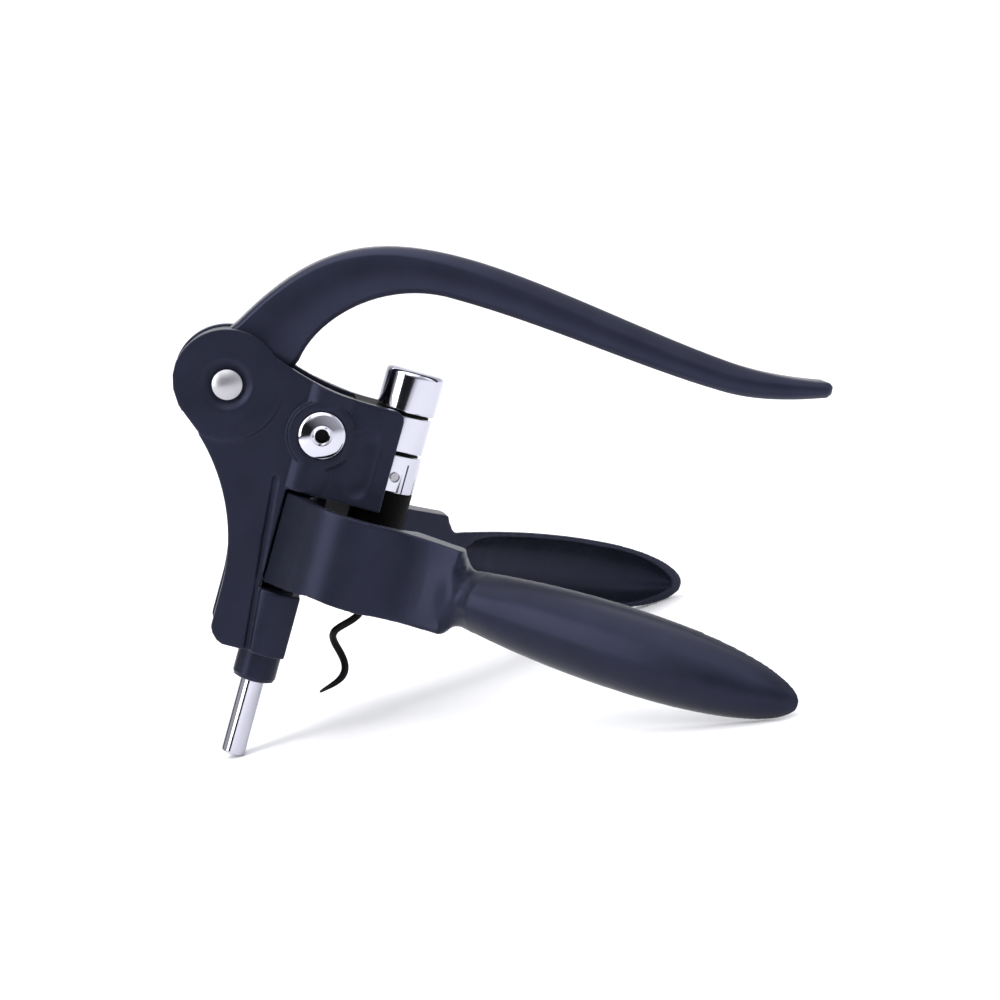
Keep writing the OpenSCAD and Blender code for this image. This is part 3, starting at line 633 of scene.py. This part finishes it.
# barrel: cap, sleeve and collar, turned and chromed
print("barrel")
barrelShape = {
    "cap": 7.9, "capLow": 27.3, "capTop": 38.1, "crown": (1, 0.2),
    "capFoot": ((0.5, 0), (0.15, 0.12), (0, 0.5)),
    "capRound": ((0, 1.5), (0.13, 0.9), (0.45, 0.45), (0.9, 0.15), (1.5, 0), (3, -0.15)),
    "sleeve": 7.5, "grooves": (16, 16.9, 26.4),
    "sleeveFoot": ((0.3, 0), (0.08, 0.08), (0, 0.3)), "ringTop": ((0, 0.3), (0.08, 0.08), (0.3, 0)),
    "collar": 7.65, "collarLow": 6, "collarFoot": ((0.4, 0), (0.1, 0.12), (0, 0.4)),
    "slits": 8, "slit": (1, 0.5, 8), "slitRunOut": 2,
    "button": (-81, 10.2, 1.1), "gap": 0.3, "holeDeep": 4,
}


def barrelCap():
    r, top, (crownR, crownRise) = barrelShape["cap"], barrelShape["capTop"], barrelShape["crown"]
    rings = roundedEnd(r, barrelShape["capLow"], barrelShape["capFoot"], way=1)
    rings += roundedEnd(r, top, barrelShape["capRound"], way=-1) + [(crownR, top + crownRise)]
    place(turned("barrelCap", rings), "spindle", "chrome_plate", ["barrel_cap"], weighted=True)


def barrelSleeve():
    r = barrelShape["sleeve"]
    low, top = barrelShape["grooves"][1:]
    rings = roundedEnd(r, low, barrelShape["sleeveFoot"], way=1)
    rings += roundedEnd(r, top, barrelShape["ringTop"], way=-1)
    place(turned("barrelSleeve", rings), "spindle", "chrome_plate", ["barrel_sleeve"], weighted=True)


def barrelCollar():
    r, low, top = barrelShape["collar"], barrelShape["collarLow"], barrelShape["grooves"][0]
    rings = roundedEnd(r, low, barrelShape["collarFoot"], way=1)
    rings += roundedEnd(r, top, barrelShape["ringTop"], way=-1)
    collar = turned("barrelCollar", rings)
    deep, wide, high = barrelShape["slit"]
    runOut = barrelShape["slitRunOut"]
    turn, buttonZ, buttonR = barrelShape["button"]
    for i in range(barrelShape["slits"]):
        angle = radians(turn + (i + 0.5) * 360 / barrelShape["slits"])
        spot = (r * cos(angle), r * sin(angle), low + (high - runOut) / 2)
        bpy.ops.mesh.primitive_cube_add(size=1, location=spot, rotation=(0, 0, angle))
        slit = named("slit")
        slit.scale = (2 * deep, wide, high + runOut)
        applyPlace(slit)
        cutOrJoin(collar, slit, "DIFFERENCE")
    angle = radians(turn)
    spot = (r * cos(angle), r * sin(angle), buttonZ)
    bpy.ops.mesh.primitive_cylinder_add(vertices=32, radius=buttonR + barrelShape["gap"], location=spot,
                                        depth=barrelShape["holeDeep"], rotation=(0, pi / 2, angle))
    hole = named("hole")
    applyPlace(hole)
    cutOrJoin(collar, hole, "DIFFERENCE")
    place(collar, "spindle", "chrome_plate", ["barrel_collar"], weighted=True)


barrelCap()
barrelSleeve()
barrelCollar()

# rod, rounded at its foot
print("rod")
rodShape = {"r": 3.2, "foot": -73.3, "top": 26.5, "footRound": ((0.6, 0), (0.15, 0.3), (0, 0.8))}
rodRings = roundedEnd(rodShape["r"], rodShape["foot"], rodShape["footRound"], way=1)
rod = turned("guideRod", rodRings + [(rodShape["r"], rodShape["top"])])
rod.location.x = rodX
place(rod, "carriage", "chrome_plate", ["guide_rod"], weighted=True)

# screws with domed heads and a socket, one on each side
print("screws")
screwShape = {
    "z": 16.4, "seat": 12.3, "r": 6.2, "dome": 16, "high": 2.4, "shank": 2.4, "reach": 3.9,
    "draft": 0.05, "rimRound": ((0, 0.3), (0.1, 0.08)), "domeRings": (0.35, 1, 2, 3),
    "lip": 2.5, "lipRise": (0.075, 0.06), "lipFoot": (0.2, 0.06), "lipWall": 0.12,
    "socket": 1.75, "mouth": (0.1, 0.05, 0.25), "deep": 2, "floorHole": 0.4, "slack": (0.02, 0.1),
}


def bodyScrews():
    # heads lie along their own axis first, then turn to face their side
    seat, top, big = screwShape["seat"], screwShape["seat"] + screwShape["high"], screwShape["dome"]

    def domeHeight(r):
        return top - big + (big * big - r * r) ** 0.5

    rim, shank = screwShape["r"], screwShape["shank"]
    socket, lip, floorZ = screwShape["socket"], screwShape["lip"], top - screwShape["deep"]
    wallRise, topRise = screwShape["lipRise"]
    footWide, footDeep = screwShape["lipFoot"]
    mouthWide, mouthHigh, mouthLow = screwShape["mouth"]
    rings = [(shank, screwShape["reach"]), (shank, seat), (rim - screwShape["draft"], seat)]
    rings += roundedEnd(rim, domeHeight(rim), screwShape["rimRound"], way=-1)
    rings += [(rim - inwards, domeHeight(rim - inwards)) for inwards in screwShape["domeRings"]]
    rings += [(lip + footWide, domeHeight(lip + footWide)), (lip, domeHeight(lip) - footDeep),
              (lip - screwShape["lipWall"], domeHeight(lip) + wallRise),
              ((lip + socket) / 2, top + topRise), (socket + mouthWide, top - mouthHigh),
              (socket, top - mouthLow), (socket, floorZ), (screwShape["floorHole"], floorZ)]
    screw = turned("bodyScrews", rings)
    screw.rotation_euler.x = pi / 2
    screw.location = (rodX, 0, screwShape["z"])
    applyPlace(screw)
    finishWith(screw, "MIRROR", use_axis=(False, True, False), use_mirror_merge=False)
    place(screw, "body", "chrome_plate", ["body_screws"])
    # the socket's walls and floor take the black coated steel as painted shade, standing in for the deep
    # socket's shadow
    screw.data.materials.append(finishes["coated_steel"])
    axis = upright @ Vector((rodX, 0, screwShape["z"]))
    away = upright.to_3x3() @ Vector((0, 1, 0)) / mm

    # faces of the socket's walls and floor, which get the painted shade
    def inShadedSocket(face):
        spot, (wide, low) = middle(face) - axis, screwShape["slack"]
        out = spot.dot(away)
        return (spot - away * out).length < (socket + wide) * mm and abs(out) > (floorZ - low) * mm

    editing(True)
    pick(screw, "FACE", inShadedSocket)
    screw.active_material_index = 1
    bpy.ops.object.material_slot_assign()
    editing(False)


bodyScrews()

# worm: one wire wound round the axis, drawn out to a point
print("worm")
wormShape = {
    "radius": 2.8, "wire": 1, "pitch": 17.8, "phase": -35.3, "tip": -51.3, "neck": 5.4, "ramp": 5,
    "point": 6, "pointEnd": 0.25, "pointPower": 0.7, "blunt": 0.2, "step": 0.6,
    "shank": 2.4, "shankTop": 22,
}


def worm():
    def at(z):
        angle = radians(180 + 360 * (min(z, wormShape["neck"]) - wormShape["phase"]) / wormShape["pitch"])
        out = wormShape["radius"] * ease(wormShape["neck"] - z, 0, wormShape["ramp"])
        return Vector((out * cos(angle), out * sin(angle), z))

    def thick(z):
        end, fromTip = wormShape["pointEnd"], min(1, (z - wormShape["tip"]) / wormShape["point"])
        point = end + (1 - end) * fromTip ** wormShape["pointPower"]
        swell = ease(z, wormShape["neck"] - wormShape["ramp"], wormShape["neck"])
        return wormShape["wire"] * point + (wormShape["shank"] - wormShape["wire"]) * swell

    count = int((wormShape["neck"] - wormShape["tip"]) / wormShape["step"])
    start = wormShape["tip"] + wormShape["blunt"]
    heights = [start + i * (wormShape["neck"] - start) / count for i in range(count + 1)]
    heights.append(wormShape["shankTop"])
    bpy.ops.curve.primitive_nurbs_path_add()
    wire = named("worm")
    wire.data.splines.clear()
    line = wire.data.splines.new("POLY")
    line.points.add(len(heights) - 1)
    for spot, z in zip(line.points, heights):
        spot.co = at(z).to_4d()
        spot.radius = thick(z)
    wire.data.bevel_depth = 1
    wire.data.bevel_resolution = 5
    wire.data.use_fill_caps = True
    only(wire)
    bpy.ops.object.convert(target="MESH")
    place(bpy.context.object, "spindle", "coated_steel", ["worm"], smoothAngle=castAngle)


worm()

# CAD nodes only get their finish
print("CAD nodes")
slots = {s["node"]: s["material_slot"] for s in frame["record"]["subparts"]}
for name, node in frame["nodes"].items():
    node.data.materials.clear()
    node.data.materials.append(finishes[slots[name]])

# studio: a pale sweep, a room that is bright on the right and dim on the left, and soft lights
print("studio")
studio = {
    "floorSize": 6, "sweep": 3, "fold": 1.4, "foldSteps": 24, "floorColour": "#f7f7f8",
    "dim": "#242428", "bright": "#e6e7ee", "dimTo": 0.3, "brightFrom": 0.8, "towards": (0.85, 0.25, 0.45),
    "sun": 0.8, "sunTurn": (radians(25), radians(-15), 0), "sunSpread": radians(70),
}

bpy.ops.mesh.primitive_plane_add(size=studio["floorSize"])
floor = named("floor")
editing(True)
pick(floor, "EDGE", lambda e: middle(e).y > 1)
bpy.ops.mesh.extrude_region_move(TRANSFORM_OT_translate={"value": (0, 0, studio["sweep"])})
pick(floor, "EDGE", lambda e: middle(e).y > 1 and abs(middle(e).z) < 0.01)
bpy.ops.mesh.bevel(offset=studio["fold"], segments=studio["foldSteps"])
editing(False)
bpy.ops.object.shade_smooth()


def paperSweep():
    # matte paper: nearly white, with a faint change of roughness along its fibres
    mat, shader, coord = newMaterial("paperSweep")
    setInputs(shader, Base_Color=toLinear(studio["floorColour"]))
    varyRoughness(mat, shader, grainNode(mat, coord, size=3, detail=3), low=0.86, high=0.92)
    return mat


floor.data.materials.append(paperSweep())

world = bpy.data.worlds.new("paleRoom")
bpy.context.scene.world = world
world.use_nodes = True
sky = world.node_tree.nodes["Background"]
look = addNode(world, "ShaderNodeTexCoord")
towards = addNode(world, "ShaderNodeVectorMath", operation="DOT_PRODUCT")
towards.inputs[1].default_value = Vector(studio["towards"]).normalized()
world.node_tree.links.new(look.outputs["Generated"], towards.inputs[0])
wall = addNode(world, "ShaderNodeMapRange", {"Value": (towards, "Value")}, **{"From Min": -1})
tint = toneNode(world, (wall, "Result"), studio["dim"], studio["bright"],
                studio["dimTo"], studio["brightFrom"])
feed(world, sky, "Color", tint, "Color")


def softBox(name, spot, aim, size, power):
    bpy.ops.object.light_add(type="AREA", location=spot)
    lamp = bpy.context.object
    lamp.name = name
    lamp.data.shape = "RECTANGLE"
    lamp.data.size, lamp.data.size_y = size
    lamp.data.energy = power
    lamp.rotation_euler = (Vector(aim) - Vector(spot)).to_track_quat("-Z", "Y").to_euler()


softBox("windowLight", spot=(-0.68, -0.44, 0.52), aim=(0.03, -0.05, 0.06), size=(0.4, 0.9), power=6.5)
softBox("frontLight", spot=(0.1, -0.6, 0.75), aim=(0.03, 0, 0.06), size=(0.8, 0.4), power=1.3)
softBox("leftLight", spot=(-0.85, 0.05, 0.36), aim=(-0.06, 0, 0.05), size=(0.7, 0.5), power=0.6)
softBox("topLight", spot=(0.05, -0.05, 1), aim=(0.02, 0, 0), size=(1, 0.9), power=4.5)
softBox("backdropLight", spot=(0, 1, 1.6), aim=(0, 2.2, 0.2), size=(2.5, 1), power=24)
softBox("sideLight", spot=(0.7, -0.25, 0.35), aim=(0, 0, 0.06), size=(0.3, 0.5), power=0.5)
bpy.ops.object.light_add(type="SUN", rotation=studio["sunTurn"])
overall = bpy.context.object
overall.name = "overallLight"
overall.data.energy = studio["sun"]
overall.data.angle = studio["sunSpread"]

# camera at the photo's view, fitted in the upright tool's own axes
cameraView = {
    "lens": 88.2, "sensor": 36, "clip": (0.05, 20),
    "distance": 651.87, "yaw": 7.61, "pitch": 6.25, "roll": 15.74, "target": (30.59, 0, 10.73),
}
yaw, pitch, roll = (radians(cameraView[k]) for k in ("yaw", "pitch", "roll"))
ahead = Vector((sin(yaw) * cos(pitch), cos(yaw) * cos(pitch), -sin(pitch)))
right = Vector((cos(yaw), -sin(yaw), 0))
up = right.cross(ahead)
right, up = right * cos(roll) + up * sin(roll), up * cos(roll) - right * sin(roll)
eye = (Vector(cameraView["target"]) - ahead * cameraView["distance"]) * mm
pose = Matrix((right, up, -ahead)).transposed().to_4x4()
pose.translation = eye
bpy.ops.object.camera_add()
camera = bpy.context.object
camera.matrix_world = stand @ pose
camera.data.lens = cameraView["lens"]
camera.data.sensor_width = cameraView["sensor"]
camera.data.clip_start, camera.data.clip_end = cameraView["clip"]
bpy.context.scene.camera = camera
bpy.context.scene.view_settings.view_transform = "Standard"
